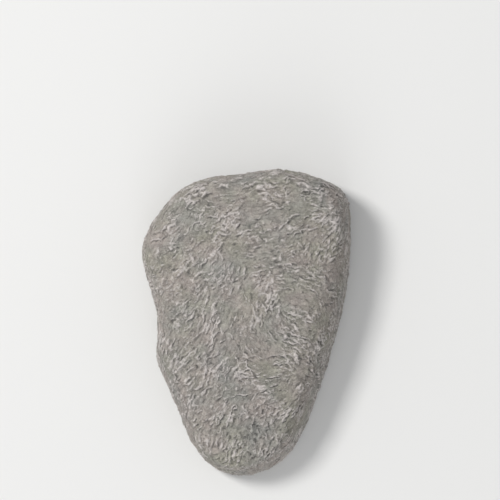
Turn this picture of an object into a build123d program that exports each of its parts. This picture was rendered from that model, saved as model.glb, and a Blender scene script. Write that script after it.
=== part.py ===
from build123d import *
import os

# A hollow garden stone that hides a key. The stone is cast in resin with a pocket in its flat base.
# A moulded tray is bonded into the pocket and holds the key, and a cover slides along the tray's rails.
# X is across the stone, +Y runs to its wide end, where the cover comes out, and Z is up from the flat
# base. The origin is under the middle of the stone. All sizes are in millimetres.

# Stone: its plan at the widest, as one closed spline
stone_plan = [
    (29.6, 32.5), (28.2, 36.9), (18.9, 41.9), (10.9, 43.7), (-1.2, 42.5), (-11.4, 41.1),
    (-19.7, 37.0), (-24.0, 32.2), (-29.6, 20.0), (-27.7, 11.1), (-25.3, -5.9), (-25.5, -8.4),
    (-22.1, -19.1), (-17.3, -30.8), (-11.8, -39.6), (-4.3, -43.5), (5.4, -42.2), (12.6, -36.5),
    (17.8, -26.6), (23.7, -9.3), (28.3, 9.0), (29.8, 23.7),
]
# Stone: height of a girth, its tilt towards the narrow end in degrees, its size across and along
# against the plan, and how far it leans in X and Y
foot_girths = [
    (0.0, 0.0, (0.955, 0.965), (0.5, -0.8)),
    (0.8, 0.0, (0.980, 0.980), (0.5, -0.8)),
    (5.0, 1.2, (0.992, 0.992), (0.0, -0.2)),
]
wall_girths = foot_girths[-1:] + [
    (10.0, 3.0, (0.990, 0.990), (-0.4, 0.4)),
    (16.0, 5.5, (0.965, 0.975), (-0.7, 0.6)),
    (20.5, 6.5, (0.905, 0.935), (-0.9, 0.6)),
    (24.0, 7.0, (0.790, 0.855), (-1.0, 0.5)),
    (26.5, 7.0, (0.600, 0.730), (-1.0, 0.2)),
]
# Stone: its top, as heights above the base at five places across, from the narrow end to the wide one
crown_across = (-34.0, -17.0, 0.0, 17.0, 34.0)
crown = [
    (-47.0, (9.4, 12.8, 14.3, 12.6, 8.3)),
    (-30.0, (13.9, 18.5, 20.3, 18.4, 12.5)),
    (-12.0, (17.6, 22.4, 24.6, 23.2, 16.0)),
    (8.0, (19.8, 24.8, 27.4, 26.3, 19.0)),
    (27.0, (20.3, 25.1, 27.4, 26.6, 20.9)),
    (47.0, (17.0, 21.8, 23.8, 23.0, 17.4)),
]
crown_root = -5.0

# Tray, measured from its own middle
tray_middle = 3.6
tray_width = 31.0
tray_length = 63.0
nose_radius = 6.0
tail_radius = 4.5
tray_wall = 1.2
shoulder_width = 1.4
compartment_height = 8.1
tray_bevel = 1.4
compartment_bevel = 0.8
mould_draft = 1.0
glue_gap = 0.3
bond_gap = 0.15

# Rails and cover
base_gap = 0.5
rail_thickness = 1.3
tongue_thickness = 1.3
slide_gap = 0.15
side_gap = 0.3
groove_wall = 1.0
rail_lip = 1.9
channel_gap = 0.2
cover_skin = 1.3
cover_wall = 1.3
tail_size = 0.96
cover_rib = 1.0
cover_rib_pitch = 10.4
cover_rib_count = 5
cover_edge = 0.35

# Thumb grip and arrow, both sunk in the cover's lower face
grip_middle = 20.0
grip_width = 17.0
grip_length = 11.0
grip_depth = 0.5
grip_corner = 3.0
ridge_pitch = 2.0
ridge_count = 4
ridge_width = 0.9
arrow_tip = 10.5
arrow_width = 9.0
arrow_length = 6.0
arrow_depth = 0.4

# Levels up from the base plane
rail_top = base_gap + rail_thickness
tongue_bottom = rail_top + slide_gap
tongue_top = tongue_bottom + tongue_thickness
groove_top = tongue_top + slide_gap
shoulder = groove_top + tray_wall
compartment_top = groove_top + compartment_height
tray_top = compartment_top + tray_wall
below = -1.0

# Places along Y
tray_nose = tray_middle - tray_length / 2
tray_tail = tray_middle + tray_length / 2
rail_end = tray_tail - tail_radius
groove_nose = tray_nose + groove_wall
lip_nose = groove_nose + rail_lip
beyond = 50.0

# Half widths
groove_half = tray_width / 2 - groove_wall
lip_half = groove_half - rail_lip
tongue_half = groove_half - side_gap
panel_half = lip_half - side_gap


def girth_plane(height, tilt):
    """The plane of a girth: level at no tilt, and otherwise falling towards the narrow end."""
    return Plane(origin=(0, 0, height)).rotated((tilt, 0, 0))


def girth_curve(size, lean):
    """One closed spline: the stone's plan at a size across and along, moved by its lean."""
    Spline(*[(x * size[0] + lean[0], y * size[1] + lean[1]) for x, y in stone_plan], periodic=True)


def tray_plan(inset):
    """The tray's plan drawn in by an inset: round corners at the nose, tighter ones at the tail."""
    with Locations((0, tray_middle)):
        Rectangle(tray_width - 2 * inset, tray_length - 2 * inset)
    fillet(vertices().group_by(Axis.Y)[0], nose_radius - inset)
    fillet(vertices().group_by(Axis.Y)[-1], tail_radius - inset)


def slide_plan(half_width, nose, tail, corner):
    """A strip from nose to tail with rounded nose corners, for what slides and where it slides."""
    with Locations((0, (nose + tail) / 2)):
        Rectangle(2 * half_width, tail - nose)
    fillet(vertices().group_by(Axis.Y)[0], corner)


# The top of the stone as a block: sections across the stone, lofted along it
with BuildPart() as crown_block:
    for station, heights in crown:
        with BuildSketch(Plane.XZ.offset(-station)):
            with BuildLine():
                top = Spline(*zip(crown_across, heights))
                Polyline(top @ 1, (crown_across[-1], crown_root), (crown_across[0], crown_root), top @ 0)
            make_face()
    loft()

# Stone: a bevelled foot with straight sides, walls that lean and close in above it, the crown cut across
# them, and the pocket with its way out
with BuildPart() as rock_body:
    for height, tilt, size, lean in foot_girths:
        with BuildSketch(girth_plane(height, tilt)):
            with BuildLine():
                girth_curve(size, lean)
            make_face()
    loft(ruled=True)
    for height, tilt, size, lean in wall_girths:
        with BuildSketch(girth_plane(height, tilt)):
            with BuildLine():
                girth_curve(size, lean)
            make_face()
    loft()
    add(crown_block.part, mode=Mode.INTERSECT)
    with BuildSketch(Plane.XY.offset(below)):
        tray_plan(-bond_gap)
    extrude(amount=shoulder - below, mode=Mode.SUBTRACT)
    with BuildSketch(Plane.XY.offset(shoulder)):
        tray_plan(shoulder_width - bond_gap)
    extrude(amount=tray_top + glue_gap - shoulder, mode=Mode.SUBTRACT)
    with BuildSketch(Plane.XY.offset(below)):
        slide_plan(groove_half + channel_gap, tray_middle, beyond, groove_wall)
    extrude(amount=groove_top + bond_gap - below, mode=Mode.SUBTRACT)
rock_body.part.label = "rock_body"

# Tray: a rim with rails below and a box above, open downwards
with BuildPart() as key_tray:
    with BuildSketch(Plane.XY.offset(base_gap)):
        tray_plan(0)
    extrude(amount=shoulder - base_gap)
    with BuildSketch(Plane.XY.offset(shoulder)):
        tray_plan(shoulder_width)
    extrude(amount=tray_top - shoulder, taper=mould_draft)
    chamfer(faces().sort_by(Axis.Z)[-1].edges(), tray_bevel)
    with BuildSketch(Plane.XY.offset(groove_top)):
        tray_plan(shoulder_width + tray_wall)
    extrude(amount=compartment_height, taper=mould_draft, mode=Mode.SUBTRACT)
    with BuildSketch(Plane.XY.offset(rail_top)):
        slide_plan(groove_half, groove_nose, beyond, nose_radius - groove_wall)
    extrude(amount=groove_top - rail_top, mode=Mode.SUBTRACT)
    with BuildSketch(Plane.XY.offset(base_gap)):
        slide_plan(lip_half, lip_nose, beyond, nose_radius - groove_wall - rail_lip)
    extrude(amount=rail_thickness, mode=Mode.SUBTRACT)
    with BuildSketch(Plane.XY.offset(base_gap)):
        with Locations((0, (rail_end + beyond) / 2)):
            Rectangle(tray_width, beyond - rail_end)
    extrude(amount=groove_top - base_gap, mode=Mode.SUBTRACT)
    level_faces = faces().filter_by(Plane.XY)
    ceiling = level_faces.filter_by_position(Axis.Z, compartment_top - slide_gap, compartment_top + slide_gap)
    chamfer(ceiling.edges(), compartment_bevel)
key_tray.part.label = "key_tray"

# The plan that the cover's tail is trimmed to, so that it ends just inside the stone's edge
with BuildPart() as tail_trim:
    with BuildSketch(Plane.XY.offset(below)):
        with BuildLine():
            girth_curve((tail_size, tail_size), foot_girths[1][3])
        make_face()
    extrude(amount=shoulder - below)

# Cover: a shallow pan between the rails, tongues that run in the grooves, and a full-width tail
with BuildPart() as sliding_cover:
    with BuildSketch(Plane.XY.offset(base_gap)):
        slide_plan(panel_half, lip_nose + side_gap, beyond, nose_radius - groove_wall - rail_lip - side_gap)
    extrude(amount=tongue_top - base_gap)
    with BuildSketch(Plane.XY.offset(tongue_bottom)):
        slide_plan(tongue_half, groove_nose + side_gap, beyond, nose_radius - groove_wall - side_gap)
    extrude(amount=tongue_thickness)
    with BuildSketch(Plane.XY.offset(base_gap)):
        with Locations((0, (rail_end + side_gap + beyond) / 2)):
            Rectangle(2 * tongue_half, beyond - rail_end - side_gap)
    extrude(amount=tongue_top - base_gap)
    add(tail_trim.part, mode=Mode.INTERSECT)
    chamfer(faces().sort_by(Axis.Z)[0].edges(), cover_edge)
    # hollow above the skin, with ribs across it
    pan_nose = lip_nose + side_gap + cover_wall
    pan_tail = tray_tail + tray_wall
    with BuildSketch(Plane.XY.offset(base_gap + cover_skin)):
        with Locations((0, (pan_nose + pan_tail) / 2)):
            RectangleRounded(2 * (panel_half - cover_wall), pan_tail - pan_nose, cover_wall)
        with Locations((0, (pan_nose + pan_tail) / 2)):
            with GridLocations(0, cover_rib_pitch, 1, cover_rib_count):
                Rectangle(2 * panel_half, cover_rib, mode=Mode.SUBTRACT)
    extrude(amount=tongue_top - base_gap - cover_skin, mode=Mode.SUBTRACT)
    # thumb grip
    with BuildSketch(Plane.XY.offset(base_gap)):
        with Locations((0, grip_middle)):
            RectangleRounded(grip_width, grip_length, grip_corner)
            with GridLocations(0, ridge_pitch, 1, ridge_count):
                SlotOverall(grip_width - 2 * ridge_width, ridge_width, mode=Mode.SUBTRACT)
    extrude(amount=grip_depth, mode=Mode.SUBTRACT)
    # arrow that points the way the cover slides off
    with BuildSketch(Plane.XY.offset(base_gap)):
        with BuildLine():
            Polyline(
                (0, arrow_tip), (arrow_width / 2, arrow_tip - arrow_length),
                (-arrow_width / 2, arrow_tip - arrow_length), close=True)
        make_face()
    extrude(amount=arrow_depth, mode=Mode.SUBTRACT)
sliding_cover.part.label = "sliding_cover"

os.makedirs("parts", exist_ok=True)
export_step(rock_body.part, "parts/rock_body.step")
export_step(key_tray.part, "parts/key_tray.step")
export_step(sliding_cover.part, "parts/sliding_cover.step")
for piece in (rock_body, key_tray, sliding_cover):
    print(piece.part.label, "valid" if piece.part.is_valid else "not valid", round(piece.part.volume))
    print(piece.part.bounding_box())
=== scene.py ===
import math

import bmesh
import bpy
import numpy as np
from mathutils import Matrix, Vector, kdtree


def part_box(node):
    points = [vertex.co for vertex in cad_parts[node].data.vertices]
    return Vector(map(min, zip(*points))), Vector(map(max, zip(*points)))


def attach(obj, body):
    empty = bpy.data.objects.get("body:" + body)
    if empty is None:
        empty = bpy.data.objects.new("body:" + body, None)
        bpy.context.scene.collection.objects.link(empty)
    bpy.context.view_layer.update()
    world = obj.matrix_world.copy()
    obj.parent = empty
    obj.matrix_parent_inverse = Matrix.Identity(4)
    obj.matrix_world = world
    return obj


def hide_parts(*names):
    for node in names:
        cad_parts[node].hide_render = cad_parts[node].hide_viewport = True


# A hollow resin garden stone seen from above, lying on a pale table. The stone's crinkled skin is carved
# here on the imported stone's own shape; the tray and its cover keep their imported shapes.

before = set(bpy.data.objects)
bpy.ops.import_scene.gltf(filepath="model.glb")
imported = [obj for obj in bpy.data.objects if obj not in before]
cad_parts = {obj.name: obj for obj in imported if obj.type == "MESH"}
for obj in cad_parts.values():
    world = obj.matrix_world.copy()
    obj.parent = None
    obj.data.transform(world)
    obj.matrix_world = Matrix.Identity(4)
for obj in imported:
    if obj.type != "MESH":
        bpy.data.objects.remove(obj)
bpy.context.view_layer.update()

MM = 0.001

# ---------------------------------------------------------------- how the stone was photographed
FRAME_PX = 500
PX_PER_MM = 3.5
STONE_CENTRE_PX = (247.0, 323.0)
CAMERA_HEIGHT = 1.5
GIRTH_HEIGHT = 9 * MM
SENSOR = 36.0
NEAR_AND_FAR = (0.01, 10.0)

# ---------------------------------------------------------------- the table and the light
TABLE_REACH = 6.0
PALE = (0.80, 0.80, 0.79)
TABLE_ROUGHNESS = 0.9
# Each lamp: its place and its width in metres, its watts and its colour.
LAMPS = {
    "window": ((-0.60, 0.38, 1.08), 0.30, 9.9, (1.0, 0.99, 0.975)),
    "fill": ((-0.14, -1.05, 0.76), 0.9, 3.2, (1.0, 1.0, 1.0)),
}
SKY = (0.97, 0.98, 1.0)
SKY_STRENGTH = 0.48

# ---------------------------------------------------------------- the stone's skin
SKIN_VOXEL = 0.28 * MM
SKIN_TRIANGLES = 190000
MERGE_DISTANCE = 0.001 * MM
# The random draws of the carving start from this seed, or from it and a step that is given with them.
CARVE_SEED = 41

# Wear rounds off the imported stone's sharp edges before anything is carved: how many rounds, and how far a
# point moves to the middle of its neighbours in each.
WORN_ROUNDS = 30
WEAR_STEP = 0.5

# The relief fades in above the foot, and away from the pocket and the cover's way out. It is lower on the
# flanks, where the skin's normal points up by less than the second share, and lowest below the first.
FOOT_FADE = (0.15 * MM, 1.4 * MM)
POCKET_MARGIN = 0.5 * MM
POCKET_FADE = 1.3 * MM
COVER_WAY_OUT = 5 * MM
FLANK_RELIEF = 0.80
FLANK_FADE = (0.2, 0.8)

# The grain of the stone's top: places in mm across and along, and the way the wrinkles run there, in
# degrees turned from across towards along. Within about the softness of one of them, it alone counts.
GRAIN = [
    (-20, 32, 42), (-22, 22, 32), (-25, 5, 35), (-20, -8, 52), (-17, -20, 55), (-10, -35, 72),
    (-8, 38, 25), (-8, 25, 38), (-8, 12, 50), (-8, 0, 62), (-6, -12, 45), (0, -25, 60),
    (5, 33, 0), (5, 20, 10), (3, 5, 80), (2, -5, -65), (3, -14, -10), (5, -35, -85),
    (18, 32, 18), (18, 22, 60), (12, 12, 0), (22, 10, -32), (20, 0, -30), (18, -10, -30), (12, -22, 35),
]
GRAIN_SOFTNESS = 3 * MM
GRAIN_FALLOFF = -1.5

# Everything that is carved wanders a little off its own line.
WANDER = 0.46 * MM
WANDER_WAVE = 1.3 * MM
WANDER_SEEDS = (11, 12, 13)

# The skin is stirred up in some places and calm in others: how thick flakes still lie in a calm place, how
# far apart the places are, and how strong wrinkles are in a calm place and how much they gain.
CALM_CROWDING = 0.22
CALM_RANGE = (-0.45, 0.35)
CALM_WAVE = 5 * MM
CALM_SEED = 1
CALM_WRINKLES = 0.60
STIRRED_GAIN = 0.60

# Families of flakes: how many to a square mm, length and width in mm, how high their lips stand in mm, how
# far they stray from the grain in degrees, how much they bow to a mm, how far apart the flakes of one
# bundle are in mm and how many it has.
FLAKES = {
    "ledges": dict(
        density=0.070, length=3.2, width=1.15, lip=0.62, stray=15, bow=0.10, spacing=1.30, bundle=6),
    "scales": dict(
        density=0.210, length=1.9, width=0.80, lip=0.45, stray=24, bow=0.22, spacing=0.95, bundle=4),
    "chips": dict(
        density=0.800, length=1.3, width=0.45, lip=0.22, stray=50, bow=0.50, spacing=0.0, bundle=1),
}
# How flakes differ from one another: length, width and spacing as spreads of their logarithm, the lip as a
# share of the family's, the twist as a share of the bow, and how far one slips along its bundle.
LENGTH_SPREAD = 0.35
WIDTH_SPREAD = 0.2
SPACING_SPREAD = 0.15
LIP_SHARES = (0.35, 1.0)
TWIST_SHARE = 0.3
SLIP = 0.45
# Most flakes drop off towards the lee side. One whose way would run nearly straight out of the skin runs
# up the flank instead.
LEE_SIDE = np.array([0.62, -0.5])
LEE_SHARE = 0.85
LEAST_RUN = 0.35
UP = np.array([0.0, 0.0, 1.0])
# A flake's section: how sharp its drop is, and how its lip dies out towards its ends and down its slope.
LIP_SHARPNESS = 0.13 * MM
END_TAPER = 0.6
SLOPE_TAPER = 1.5
# Where the lines of paint run, from the lip up the slope, and how wide they are: the pale line on the lip
# is dry-brush paint and painted highlight, and the dark line at the foot of the drop, on the lee side, is
# wash and painted shadow. A lip this high takes the full paint.
LIP_LINE = (0.10 * MM, 0.30 * MM)
FOOT_LINE = (-0.34 * MM, 0.32 * MM)
FULL_LIP = 0.70 * MM
# Where flakes of two families cross, the lower one still shows through in part, and loses its lines of
# paint and painted light where it is this far below the higher one.
SHOWS_THROUGH = 0.35
BURIED_DEPTH = 0.2 * MM
BURIED_FOOT = 0.5

# Wrinkles: wave length and height in mm, how far they are drawn out along the grain, and their kind: a
# swell rolls, a ridge stands up as a thin line and a crease sinks as one.
WRINKLES = [
    ("swell", 6.0, 0.12, 1.4),
    ("swell", 2.2, 0.14, 2.2),
    ("ridge", 3.4, 0.20, 2.4),
    ("crease", 2.8, 0.28, 2.2),
    ("ridge", 1.8, 0.16, 2.4),
    ("crease", 1.4, 0.18, 2.0),
    ("swell", 1.0, 0.13, 1.8),
]
GRAIN_WAYS = 6
LINE_WIDTH = 0.28
LINE_SHARPNESS = 1.2
BREAK_WAVE = 1.1
BREAK_RANGE = (-0.40, 0.30)
WRINKLE_SEED = 100
BREAK_SEED = 50
# How much pale paint and painted highlight ridges take, and how much dark wash and painted shade
# creases take, next to a flake's lip and foot, and how far a lip keeps the dark wash and painted shade off.
RIDGE_PAINT_AND_HIGHLIGHT = 0.70
CREASE_WASH_AND_SHADE = 0.75
LIP_COVERS = 0.6

# Pits: how many on the whole skin and how many more in one patch near the narrow end, their width, their
# depth, and the patch's middle and size, all in mm. They are kept above a third of the stone's height.
PITS = 40
PATCH_PITS = 55
PIT_WIDTH = (0.30, 0.65)
PIT_DEPTH = 0.44
# How much dark wash and painted shade a pit takes.
PIT_WASH_AND_SHADE = 0.6
PIT_SEED = 900
PATCH_MIDDLE = (1.0, -36.0)
PATCH_SIZE = 4.5

# ---------------------------------------------------------------- the stone's paint
NOISE_MIDDLE = 0.5
# Patterns of noise: waves to a metre, detail, roughness, and the stretch of values that is made 0 to 1.
PATTERNS = {
    "patches": (75, 2.0, 0.55, 0.38, 0.62),
    "tints": (140, 3.0, 0.55, 0.40, 0.66),
    "mottle": (420, 4.0, 0.6, 0.30, 0.70),
    "specks": (2600, 2.0, 0.6, 0.25, 0.75),
}
OLIVE_GREY = (0.318, 0.307, 0.262)
COOL_GREY = (0.294, 0.292, 0.276)
WARM_GREY = (0.366, 0.328, 0.304)
MOTTLE_SHADES = ((0.85, 0.85, 0.85), (1.16, 1.15, 1.13))
SPECK_SHADES = ((0.80, 0.80, 0.80), (1.20, 1.20, 1.20))
STREAK_SHADES = ((0.80, 0.80, 0.80), (1.20, 1.20, 1.20))

# Fine streaks along the grain: the ways they can run, in degrees, how far they are drawn out, their waves
# to a metre and detail, roughness and swirl, and the stretch of values that is made 0 to 1. Each way's noise
# is shifted by so much for each degree, so that no two are alike, and every way keeps a small share.
STREAK_WAYS = (0, 60, 120)
STREAK_DRAWN_OUT = 3.6
STREAK_WAVES = (1250, 2.0, 0.6, 0.3)
STREAK_RANGE = (-0.16, 0.16)
STREAK_SHIFT = 0.1 * MM
LEAST_STREAK = 0.02

# Painted light: the narrow end is painted a little paler, standing in for light on its slope, from one of
# these distances along the stone to the other.
PAINTED_LIGHT_END = (27 * MM, 38 * MM)
PAINTED_LIGHT_END_SHADE = (1.14, 1.14, 1.13)

# Dry-brushed paint with painted highlight on the lips and ridges, and a dark wash with painted shade in the
# creases, pits and feet of drops: where they catch, how strong they are and their colour. Their edges are
# ragged, and they drift from thick to thin.
BRUSHED_PAINT_AND_HIGHLIGHT = ((0.56, 0.76), 0.80, (0.68, 0.632, 0.612))
WASH_AND_PAINTED_SHADE = ((0.39, 0.67), 0.82, (0.080, 0.080, 0.078))
RAGGED = (1300, 3.0, 0.6)
RAGGED_AMOUNT = 0.50
DRIFT = (170, 2.0, 0.55)
DRIFT_AMOUNT = 0.25

# Hair lines: their noise as waves to a metre, detail, roughness and swirl, then width, strength and colour.
PALE_HAIRS = ((760, 2.0, 0.5, 0.9), 0.022, 0.55, (0.56, 0.52, 0.485))
DARK_HAIRS = ((680, 2.0, 0.5, 1.1), 0.026, 0.45, (0.14, 0.13, 0.12))
HAIR_RELIEF = 0.5

STONE_ROUGHNESS = 0.92
STONE_SHINE = 0.25
STONE_GRIT = (1100, 4.0, 0.6)
STONE_BUMP = (0.9, 0.16 * MM)

# ---------------------------------------------------------------- the plastics
# The colour of each plastic piece, and its fine texture as waves to a metre, detail and roughness.
PLASTICS = {
    "key_tray": ((0.020, 0.020, 0.022), (5200, 2.0, 0.55)),
    "sliding_cover": ((0.026, 0.026, 0.028), (4600, 2.0, 0.55)),
}
CLOUD = (160, 3.0, 0.55)
CLOUD_RANGE = (0.3, 0.7)
CLOUD_LIGHTER = 1.35
SMEARS = (900, 3.0, 0.55)
PLASTIC_ROUGHNESS = (0.42, 0.58)
PLASTIC_BUMP = (0.35, 0.04 * MM)


# ---------------------------------------------------------------- noise and distances


def smooth_step(low, high, value):
    """0 below low, 1 above high, and a smooth rise between them."""
    t = np.clip((value - low) / (high - low), 0.0, 1.0)
    return t * t * (3.0 - 2.0 * t)


def grain_angle(x, y):
    """The way the wrinkles run at a place on the plan, in radians."""
    cosine = np.zeros_like(x)
    sine = np.zeros_like(x)
    for across, along, degrees in GRAIN:
        weight = ((x - across * MM) ** 2 + (y - along * MM) ** 2 + GRAIN_SOFTNESS ** 2) ** GRAIN_FALLOFF
        cosine += weight * math.cos(2 * math.radians(degrees))
        sine += weight * math.sin(2 * math.radians(degrees))
    return 0.5 * np.arctan2(sine, cosine)


def distance_to_box(points, low, high):
    """How far each point is outside a box."""
    outside = np.maximum(np.maximum(low - points, points - high), 0.0)
    return np.linalg.norm(outside, axis=1)


def gradient_noise(places, seed):
    """Even random waves one unit long, about -1 to 1."""
    table, gain = 256, 1.7
    rng = np.random.default_rng(seed)
    order = rng.permutation(table)
    slopes = rng.normal(size=(table, 3))
    slopes /= np.linalg.norm(slopes, axis=1)[:, None]
    cell = np.floor(places).astype(int)
    inside = places - cell
    blend = inside ** 3 * (inside * (inside * 6.0 - 15.0) + 10.0)
    total = np.zeros(len(places))
    for corner in np.ndindex(2, 2, 2):
        x, y, z = (cell + corner).T % table
        pick = order[(order[(order[x] + y) % table] + z) % table]
        weight = np.where(corner, blend, 1.0 - blend).prod(axis=1)
        total += weight * ((inside - corner) * slopes[pick]).sum(axis=1)
    return total * gain


def grain_noise(points, angle, wave, drawn_out, seed):
    """Noise drawn out along the grain: noises drawn out in a few fixed ways, each strongest where the grain
    runs its way."""
    total = np.zeros(len(points))
    power = np.zeros(len(points))
    for way in range(GRAIN_WAYS):
        lie = math.pi * way / GRAIN_WAYS
        share = np.maximum(np.cos(2 * (angle - lie)), 0.0) ** 2
        turned = points.copy()
        turned[:, 0] = (points[:, 0] * math.cos(lie) + points[:, 1] * math.sin(lie)) / drawn_out
        turned[:, 1] = points[:, 1] * math.cos(lie) - points[:, 0] * math.sin(lie)
        total += share * gradient_noise(turned / wave, seed + way)
        power += share ** 2
    return total / np.sqrt(power)


# ---------------------------------------------------------------- meshes


def mesh_points(mesh):
    points = np.empty(len(mesh.vertices) * 3)
    mesh.vertices.foreach_get("co", points)
    return points.reshape(-1, 3)


def mesh_normals(mesh):
    normals = np.empty(len(mesh.vertices) * 3)
    mesh.vertex_normals.foreach_get("vector", normals)
    return normals.reshape(-1, 3)


def move_points(mesh, points):
    mesh.vertices.foreach_set("co", points.ravel())
    mesh.update()


def keep_on_mesh(mesh, name, values):
    """Stores a number or three for each point, for the stone's paint to read."""
    kind, slot = ("FLOAT", "value") if values.ndim == 1 else ("FLOAT_VECTOR", "vector")
    kept = mesh.attributes.new(name, kind, "POINT")
    kept.data.foreach_set(slot, values.ravel().astype(np.float32))


def finished_mesh(piece):
    """The mesh that a piece has once its modifiers have worked; they are taken off it."""
    graph = bpy.context.evaluated_depsgraph_get()
    mesh = bpy.data.meshes.new_from_object(piece.evaluated_get(graph))
    piece.modifiers.clear()
    name = piece.data.name
    piece.data = mesh
    mesh.name = name
    return mesh


def even_copy(node, name, voxel):
    """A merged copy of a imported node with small, even faces all over."""
    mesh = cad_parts[node].data.copy()
    mesh.name = name
    work = bmesh.new()
    work.from_mesh(mesh)
    bmesh.ops.remove_doubles(work, verts=work.verts, dist=MERGE_DISTANCE)
    work.to_mesh(mesh)
    work.free()
    piece = bpy.data.objects.new(name, mesh)
    bpy.context.scene.collection.objects.link(piece)
    remesh = piece.modifiers.new("even faces", "REMESH")
    remesh.mode = "VOXEL"
    remesh.voxel_size = voxel
    remesh.adaptivity = 0.0
    finished_mesh(piece)
    return piece


def thin_out(piece, triangles):
    """Collapses the least needed edges, most of them on the flats, down to a count of triangles."""
    count = sum(len(polygon.vertices) - 2 for polygon in piece.data.polygons)
    collapse = piece.modifiers.new("thinned", "DECIMATE")
    collapse.ratio = triangles / count
    finished_mesh(piece)


# ---------------------------------------------------------------- carving the stone


def skin_share(points):
    """1 on the weathered skin, 0 on the flat base and in the pocket and the cover's way out."""
    share = smooth_step(*FOOT_FADE, points[:, 2])
    margin = Vector((POCKET_MARGIN,) * 3)
    for node in ("key_tray", "sliding_cover"):
        low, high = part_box(node)
        if node == "sliding_cover":
            high = high + Vector((0, COVER_WAY_OUT, 0))
        gap = distance_to_box(points, np.array(low - margin), np.array(high + margin))
        share *= smooth_step(0.0, POCKET_FADE, gap)
    return share


def wear(mesh, points, share):
    """Points drawn towards the middle of their neighbours, round after round, to wear off sharp ridges."""
    ends = np.empty(len(mesh.edges) * 2, dtype=np.int64)
    mesh.edges.foreach_get("vertices", ends)
    first, second = ends.reshape(-1, 2).T
    neighbours = np.bincount(first, minlength=len(points)) + np.bincount(second, minlength=len(points))
    for _ in range(WORN_ROUNDS):
        middle = np.zeros_like(points)
        for axis in range(3):
            middle[:, axis] += np.bincount(first, points[second, axis], len(points))
            middle[:, axis] += np.bincount(second, points[first, axis], len(points))
        middle /= neighbours[:, None]
        points = points + (middle - points) * (WEAR_STEP * share)[:, None]
    return points


def wrinkle(points, angle):
    """The height of the wrinkles in metres, and how near each point is to a ridge and to a crease."""
    height = np.zeros(len(points))
    ridge = np.zeros(len(points))
    crease = np.zeros(len(points))
    for order, (kind, wave, rise, drawn_out) in enumerate(WRINKLES):
        seed = CARVE_SEED + WRINKLE_SEED * (order + 1)
        wave *= MM
        waves = grain_noise(points, angle, wave, drawn_out, seed)
        if kind == "swell":
            height += rise * MM * waves
            continue
        breaks = gradient_noise(points / (BREAK_WAVE * wave), seed + BREAK_SEED)
        line = np.clip(1.0 - np.abs(waves) / LINE_WIDTH, 0.0, 1.0) ** LINE_SHARPNESS
        line *= smooth_step(*BREAK_RANGE, breaks)
        if kind == "ridge":
            height += rise * MM * line
            ridge = np.maximum(ridge, line)
        else:
            height -= rise * MM * line
            crease = np.maximum(crease, line)
    return height, ridge, crease


def flake_lie(normal, angle):
    """The way a flake runs on the skin, and the way from its lip up its slope."""
    along = np.array([math.cos(angle), math.sin(angle), 0.0])
    along = along - normal * along.dot(normal)
    if np.linalg.norm(along) < LEAST_RUN:
        along = UP - normal * normal[2]
    along /= np.linalg.norm(along)
    across = np.cross(normal, along)
    if across[:2].dot(LEE_SIDE) > 0:
        across = -across
    return along, across


def near_line(u, line):
    """1 in the middle of a line of paint, falling off to both sides."""
    middle, width = line
    return np.exp(-((u - middle) / width) ** 2)


def carve_flakes(points, wandered, normals, tree, crowding, family, seed):
    """Flakes scattered over the skin along its grain, in loose bundles. Each one rises gently to a lip and
    drops off sharply on its lee side. Gives each point its height in metres, and how near it is to a lip
    and to the foot of a drop, both from 0 to 1."""
    rng = np.random.default_rng(seed)
    count = int(len(points) * (SKIN_VOXEL / MM) ** 2 * family["density"])
    height = np.zeros(len(points))
    lip = np.zeros(len(points))
    foot = np.zeros(len(points))
    seats = rng.choice(len(points), count, p=crowding / crowding.sum())
    strays = np.radians(rng.normal(0, family["stray"], count))
    angles = grain_angle(points[seats, 0], points[seats, 1]) + strays
    for seat, angle in zip(seats, angles):
        along, across = flake_lie(normals[seat], angle)
        members = rng.integers(1, family["bundle"] + 1)
        bow = rng.normal(0, family["bow"]) / MM
        for member in range(members):
            half = family["length"] * MM / 2 * rng.lognormal(0, LENGTH_SPREAD)
            width = family["width"] * MM * rng.lognormal(0, WIDTH_SPREAD)
            rise = family["lip"] * MM * rng.uniform(*LIP_SHARES)
            twist = rng.normal(0, family["bow"] * TWIST_SHARE) / MM ** 2
            turned = 1 if rng.random() < LEE_SHARE else -1
            step = (member - (members - 1) / 2) * family["spacing"] * MM * rng.lognormal(0, SPACING_SPREAD)
            centre = points[seat] + across * step + along * rng.normal(0, SLIP) * half
            near = [found[1] for found in tree.find_range(centre, half + width)]
            offset = wandered[near] - centre
            t = offset @ along
            u = turned * (offset @ across) - bow * t ** 2 - twist * t ** 3
            taper = np.clip(1.0 - (t / half) ** 2, 0.0, 1.0) ** END_TAPER
            slope = np.clip(1.0 - u / width, 0.0, 1.0) ** SLOPE_TAPER
            drop = np.clip(1.0 + u / LIP_SHARPNESS, 0.0, 1.0)
            height[near] = np.maximum(height[near], rise * taper * np.where(u > 0, slope, drop))
            # Pale line on the lip: dry-brush paint and painted highlight. Dark line at the foot: wash and
            # painted shadow.
            strength = np.sqrt(taper * rise / FULL_LIP)
            lip[near] = np.maximum(lip[near], strength * near_line(u, LIP_LINE))
            foot[near] = np.maximum(foot[near], strength * near_line(u, FOOT_LINE))
    return height, np.minimum(lip, 1.0), np.minimum(foot, 1.0)


def sink_pits(points, tree):
    """Small round pits. Gives each point how deep it is in one, from 0 to 1."""
    rng = np.random.default_rng(CARVE_SEED + PIT_SEED)
    above = np.flatnonzero(points[:, 2] > points[:, 2].max() / 3)
    seats = list(rng.choice(above, PITS))
    for _ in range(PATCH_PITS):
        across, along = rng.normal(PATCH_MIDDLE, PATCH_SIZE) * MM
        seats.append(tree.find((across, along, points[:, 2].max()))[1])
    sunk = np.zeros(len(points))
    for seat in seats:
        width = rng.uniform(*PIT_WIDTH) * MM
        near = [found[1] for found in tree.find_range(points[seat], 2 * width)]
        distance = np.linalg.norm((points[near] - points[seat]) / width, axis=1)
        sunk[near] = np.maximum(sunk[near], np.exp(-distance ** 3))
    return sunk


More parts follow.
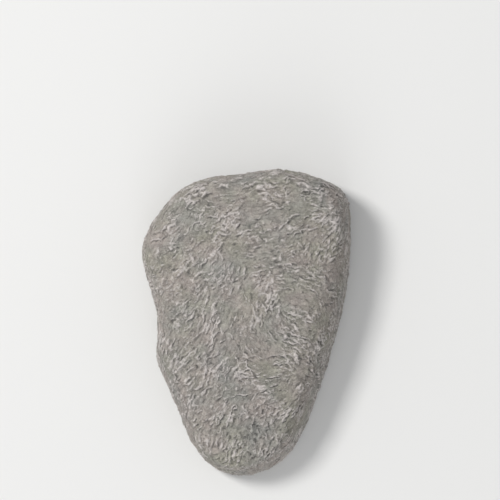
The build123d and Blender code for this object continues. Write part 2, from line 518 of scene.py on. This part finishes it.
def carve_skin(points, normals):
    """All the relief of the skin. Gives each point its height in metres about a mean of 0, how much pale
    paint and painted highlight it takes, and how much dark wash and painted shade."""
    tree = kdtree.KDTree(len(points))
    for index, point in enumerate(points):
        tree.insert(point, index)
    tree.balance()
    stirred = smooth_step(*CALM_RANGE, gradient_noise(points / CALM_WAVE, CALM_SEED))
    wander = np.stack([gradient_noise(points / WANDER_WAVE, seed) for seed in WANDER_SEEDS], axis=1)
    wandered = points + WANDER * wander
    height = np.zeros(len(points))
    pale = np.zeros(len(points))
    dark = np.zeros(len(points))
    for order, family in enumerate(FLAKES.values()):
        rise, lip, foot = carve_flakes(
            points, wandered, normals, tree, CALM_CROWDING + stirred, family, CARVE_SEED + order)
        buried = smooth_step(0.0, BURIED_DEPTH, height - rise)
        pale = np.maximum(pale, lip * (1.0 - buried))
        dark = np.maximum(dark, foot * (1.0 - BURIED_FOOT * buried))
        height = np.maximum(height, rise) + SHOWS_THROUGH * np.minimum(height, rise)
    rise, ridge, crease = wrinkle(wandered, grain_angle(points[:, 0], points[:, 1]))
    strength = CALM_WRINKLES + STIRRED_GAIN * stirred
    height += rise * strength
    # Ridges take pale paint and painted highlight; creases take dark wash and painted shade.
    pale = np.maximum(pale, RIDGE_PAINT_AND_HIGHLIGHT * (ridge * strength))
    dark = np.maximum(dark, CREASE_WASH_AND_SHADE * (crease * strength))
    dark *= 1.0 - LIP_COVERS * pale
    pits = sink_pits(wandered, tree)
    height -= PIT_DEPTH * MM * pits
    # Pits take dark wash and painted shade.
    dark = np.maximum(dark, PIT_WASH_AND_SHADE * pits)
    pale *= 1.0 - pits
    return height - height.mean(), pale, dark


def streak_shares(angle):
    """How much each of the streaks' ways counts where the grain runs at an angle."""
    turns = [angle - math.radians(way) for way in STREAK_WAYS]
    shares = np.stack([np.maximum(np.cos(2 * turn), 0.0) ** 2 + LEAST_STREAK for turn in turns], axis=1)
    return shares / np.linalg.norm(shares, axis=1)[:, None]


def build_stone():
    stone = even_copy("rock_body", "stone_skin", SKIN_VOXEL)
    mesh = stone.data
    points = mesh_points(mesh)
    share = skin_share(points)
    points = wear(mesh, points, share)
    move_points(mesh, points)
    normals = mesh_normals(mesh)
    skin = np.flatnonzero(share > 0)
    height, pale, dark = np.zeros((3, len(points)))
    height[skin], pale[skin], dark[skin] = carve_skin(points[skin], normals[skin])
    flank = FLANK_RELIEF + (1.0 - FLANK_RELIEF) * smooth_step(*FLANK_FADE, normals[:, 2])
    points += normals * (height * flank * share)[:, None]
    keep_on_mesh(mesh, "pale", pale * share)
    keep_on_mesh(mesh, "dark", dark * share)
    # Painted light: how much paler the narrow end is painted.
    keep_on_mesh(mesh, "painted_light_end", smooth_step(*PAINTED_LIGHT_END, -points[:, 1]))
    keep_on_mesh(mesh, "streaks", streak_shares(grain_angle(points[:, 0], points[:, 1])))
    mesh.polygons.foreach_set("use_smooth", [True] * len(mesh.polygons))
    move_points(mesh, points)
    thin_out(stone, SKIN_TRIANGLES)
    stone.data.materials.clear()
    stone.data.materials.append(stone_paint())
    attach(stone, "stone")
    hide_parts("rock_body")
    return stone


# ---------------------------------------------------------------- finishes


class Finish:
    """The nodes of a material or of the sky, and short ways to add the kinds that are used here."""

    def __init__(self, owner):
        owner.use_nodes = True
        self.nodes = owner.node_tree.nodes
        self.links = owner.node_tree.links

    def put(self, socket, value):
        """Leads another socket into this one, or writes a plain value or a colour on it."""
        if isinstance(value, bpy.types.NodeSocket):
            self.links.new(value, socket)
        elif isinstance(value, tuple) and socket.type == "RGBA":
            socket.default_value = (*value, 1.0)
        else:
            socket.default_value = value

    def add(self, kind, inputs, **settings):
        """A new node of a kind, with its settings and what goes into its sockets."""
        node = self.nodes.new("ShaderNode" + kind)
        for name, value in settings.items():
            setattr(node, name, value)
        for name, value in inputs.items():
            self.put(node.inputs[name], value)
        return node.outputs

    def place(self):
        return self.add("TexCoord", {})["Object"]

    def attribute(self, name, output="Fac"):
        return self.add("Attribute", {}, attribute_name=name)[output]

    def maths(self, operation, *values):
        return self.add("Math", dict(enumerate(values)), operation=operation)["Value"]

    def noise(self, place, scale, detail, roughness, swirl=0.0):
        return self.add("TexNoise", {
            "Vector": place, "Scale": scale, "Detail": detail, "Roughness": roughness, "Distortion": swirl,
        })["Fac"]

    def stretch(self, value, low, high, to_low=0.0, to_high=1.0):
        """Makes the values from low to high run from one number to another, and stops them there."""
        return self.add("MapRange", {
            "Value": value, "From Min": low, "From Max": high, "To Min": to_low, "To Max": to_high,
        })["Result"]

    def mix(self, share, first, second, blend="MIX"):
        return self.add(
            "Mix", {"Factor": share, "A": first, "B": second}, data_type="RGBA", blend_type=blend)["Result"]

    def shaded(self, colour, share, first, second):
        """A colour multiplied by the first shade where the share is 0 and by the second where it is 1."""
        return self.mix(1.0, colour, self.mix(share, first, second), "MULTIPLY")

    def hair_lines(self, value, width):
        """1 along the lines where a noise crosses its middle, and 0 away from them."""
        off_middle = self.maths("ABSOLUTE", self.maths("SUBTRACT", value, NOISE_MIDDLE))
        return self.stretch(off_middle, width, 0.0)

    def painted_edge(self, value, ragged, drift, low, high):
        """Paint that catches where a value is high, with a ragged edge and more of it in some places."""
        for layer, amount in ((ragged, RAGGED_AMOUNT), (drift, DRIFT_AMOUNT)):
            value = self.maths("MULTIPLY_ADD", layer, amount, value)
            low += NOISE_MIDDLE * amount
            high += NOISE_MIDDLE * amount
        return self.stretch(value, low, high)

    def streaks(self, place):
        """Noise about 0 that runs along the stone's grain: one drawn out in each of a few ways, each shared
        in where the grain runs its way."""
        shares = self.add("SeparateXYZ", {"Vector": self.attribute("streaks", "Vector")})
        total = 0.0
        for way, axis in zip(STREAK_WAYS, "XYZ"):
            turned = self.add("Mapping", {
                "Vector": place,
                "Location": (0.0, 0.0, STREAK_SHIFT * way),
                "Rotation": (0.0, 0.0, math.radians(way)),
                "Scale": (STREAK_DRAWN_OUT, 1.0, 1.0),
            }, vector_type="TEXTURE")["Vector"]
            about_zero = self.maths("SUBTRACT", self.noise(turned, *STREAK_WAVES), NOISE_MIDDLE)
            total = self.maths("MULTIPLY_ADD", about_zero, shares[axis], total)
        return total

    def finish_surface(self, colour, roughness, height=None, bump=None):
        """Leads the colour and the roughness into the surface, and a height too where there is one."""
        surface = self.nodes["Principled BSDF"].inputs
        self.put(surface["Base Color"], colour)
        self.put(surface["Roughness"], roughness)
        if height is not None:
            strength, distance = bump
            bumped = self.add("Bump", {"Strength": strength, "Distance": distance, "Height": height})
            self.put(surface["Normal"], bumped["Normal"])
        return surface


def stone_paint():
    """Painted resin: warm, olive and cool grey patches, pale dry-brushed folds with painted highlight, and
    dark washed creases with painted shade.
    """
    material = bpy.data.materials.new("stone_paint")
    paint = Finish(material)
    place = paint.place()
    pattern = {
        name: paint.stretch(paint.noise(place, scale, detail, roughness), low, high)
        for name, (scale, detail, roughness, low, high) in PATTERNS.items()
    }
    colour = paint.mix(pattern["patches"], OLIVE_GREY, COOL_GREY)
    colour = paint.mix(pattern["tints"], colour, WARM_GREY)
    colour = paint.shaded(colour, pattern["mottle"], *MOTTLE_SHADES)
    colour = paint.shaded(colour, pattern["specks"], *SPECK_SHADES)
    streaks = paint.streaks(place)
    colour = paint.shaded(colour, paint.stretch(streaks, *STREAK_RANGE), *STREAK_SHADES)
    # Painted light: the narrow end is painted paler, standing in for light on its slope.
    colour = paint.shaded(colour, paint.attribute("painted_light_end"), (1.0, 1.0, 1.0), PAINTED_LIGHT_END_SHADE)
    ragged = paint.noise(place, *RAGGED)
    drift = paint.noise(place, *DRIFT)
    # Pale dry-brush paint with painted highlight, and dark wash with painted shade.
    for name, (catches, strength, tone) in (("pale", BRUSHED_PAINT_AND_HIGHLIGHT), ("dark", WASH_AND_PAINTED_SHADE)):
        caught = paint.painted_edge(paint.attribute(name), ragged, drift, *catches)
        colour = paint.mix(paint.maths("MULTIPLY", caught, strength), colour, tone)
    hairs = []
    for waves, width, strength, tone in (PALE_HAIRS, DARK_HAIRS):
        lines = paint.hair_lines(paint.noise(place, *waves), width)
        colour = paint.mix(paint.maths("MULTIPLY", lines, strength), colour, tone)
        hairs.append(lines)
    grit = paint.maths("ADD", paint.noise(place, *STONE_GRIT), streaks)
    height = paint.maths("MULTIPLY_ADD", paint.maths("SUBTRACT", *hairs), HAIR_RELIEF, grit)
    surface = paint.finish_surface(colour, STONE_ROUGHNESS, height, STONE_BUMP)
    paint.put(surface["Specular IOR Level"], STONE_SHINE)
    return material


def moulded_plastic(name, colour, texture):
    """Black moulded plastic with a fine spark-eroded texture."""
    material = bpy.data.materials.new(name)
    plastic = Finish(material)
    place = plastic.place()
    cloud = plastic.stretch(plastic.noise(place, *CLOUD), *CLOUD_RANGE)
    lighter = tuple(CLOUD_LIGHTER * part for part in colour)
    roughness = plastic.stretch(plastic.noise(place, *SMEARS), 0.0, 1.0, *PLASTIC_ROUGHNESS)
    height = plastic.noise(place, *texture)
    plastic.finish_surface(plastic.mix(cloud, colour, lighter), roughness, height, PLASTIC_BUMP)
    return material


def dress_plastics():
    for node, (colour, texture) in PLASTICS.items():
        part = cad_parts[node]
        part.data.materials.clear()
        part.data.materials.append(moulded_plastic(node + "_plastic", colour, texture))


# ---------------------------------------------------------------- table, light and camera


def build_table():
    table = bpy.data.meshes.new("table")
    work = bmesh.new()
    bmesh.ops.create_grid(work, x_segments=1, y_segments=1, size=TABLE_REACH)
    work.to_mesh(table)
    work.free()
    floor = bpy.data.objects.new("table", table)
    bpy.context.scene.collection.objects.link(floor)
    material = bpy.data.materials.new("table_card")
    Finish(material).finish_surface(PALE, TABLE_ROUGHNESS)
    table.materials.append(material)


def area_light(name, where, size, watts, colour):
    """A square lamp that faces the stone."""
    light = bpy.data.lights.new(name, "AREA")
    light.size = size
    light.energy = watts
    light.color = colour
    lamp = bpy.data.objects.new(name, light)
    lamp.location = where
    lamp.rotation_euler = (-Vector(where)).to_track_quat("-Z", "Y").to_euler()
    bpy.context.scene.collection.objects.link(lamp)


def light_room():
    """The lamps, and a soft sky that lights the stone but looks as pale as the table."""
    for name, settings in LAMPS.items():
        area_light(name, *settings)
    world = bpy.data.worlds.new("room")
    bpy.context.scene.world = world
    room = Finish(world)
    sky = room.nodes["Background"]
    room.put(sky.inputs["Color"], SKY)
    room.put(sky.inputs["Strength"], SKY_STRENGTH)
    seen = room.add("Background", {"Color": PALE, "Strength": 1.0})["Background"]
    rays = room.add("LightPath", {})
    either = room.maths("MAXIMUM", rays["Is Camera Ray"], rays["Is Glossy Ray"])
    looked_at = room.maths("MAXIMUM", either, rays["Is Transmission Ray"])
    shown = room.add("MixShader", {0: looked_at, 1: sky.outputs["Background"], 2: seen})["Shader"]
    room.put(room.nodes["World Output"].inputs["Surface"], shown)


def place_camera():
    """Straight down, with the stone at its place and size in the photograph's frame."""
    view = bpy.data.cameras.new("camera")
    frame_width = FRAME_PX / PX_PER_MM * MM
    view.sensor_width = SENSOR
    view.lens = SENSOR * (CAMERA_HEIGHT - GIRTH_HEIGHT) / frame_width
    view.clip_start, view.clip_end = NEAR_AND_FAR
    camera = bpy.data.objects.new("camera", view)
    middle = FRAME_PX / 2
    camera.location = (
        (middle - STONE_CENTRE_PX[0]) / PX_PER_MM * MM,
        (STONE_CENTRE_PX[1] - middle) / PX_PER_MM * MM,
        CAMERA_HEIGHT,
    )
    bpy.context.scene.collection.objects.link(camera)
    bpy.context.scene.camera = camera


build_stone()
dress_plastics()
build_table()
light_room()
place_camera()
bpy.context.scene.view_settings.view_transform = "Standard"
